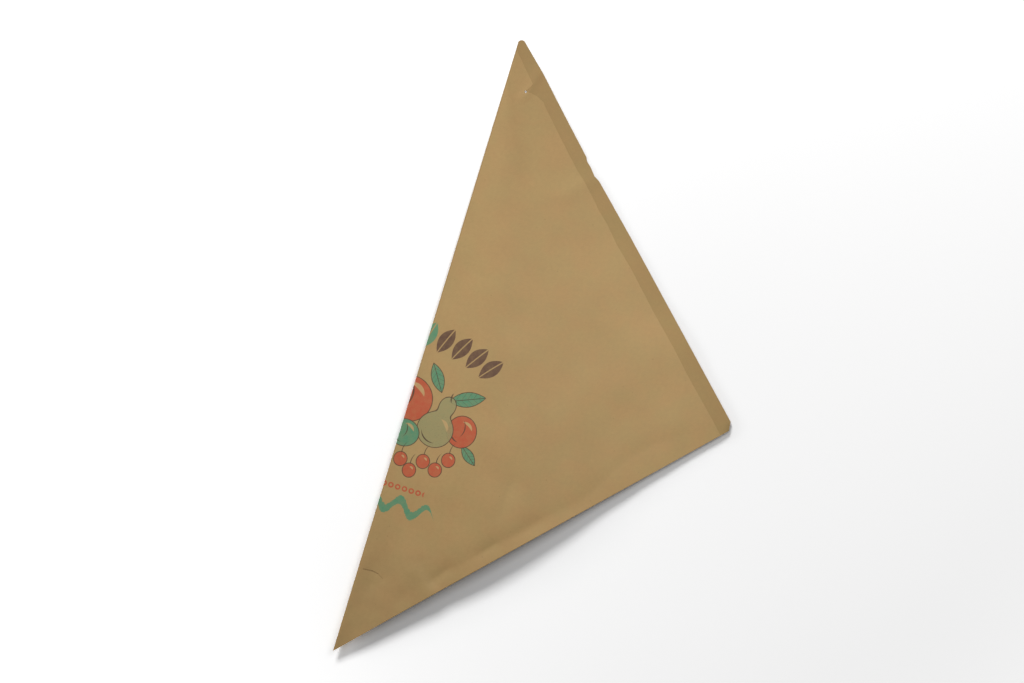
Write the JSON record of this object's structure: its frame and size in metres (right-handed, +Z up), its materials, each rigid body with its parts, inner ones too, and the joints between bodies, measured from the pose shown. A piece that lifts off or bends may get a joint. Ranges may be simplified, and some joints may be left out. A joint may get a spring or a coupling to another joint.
{
  "type": "paper cone bag",
  "caption": "Flat triangular paper bag folded on its diagonal from one kraft sheet and glued along one edge, with a mouth along its lower edge.",
  "frame": {"origin": "bottom centre of the bag's box, as it lies on its back panel", "axes": "+Z up out of the front panel, +Y from the mouth to the apex along the glued seam, +X from the tip of the fold to the seam"},
  "size_m": [0.2978, 0.2904, 0.0137],
  "materials": {
    "kraft_paper": "matte"
  },
  "bodies": {
    "root": {"bag_sheet": "kraft_paper"}
  },
  "joints": []
}
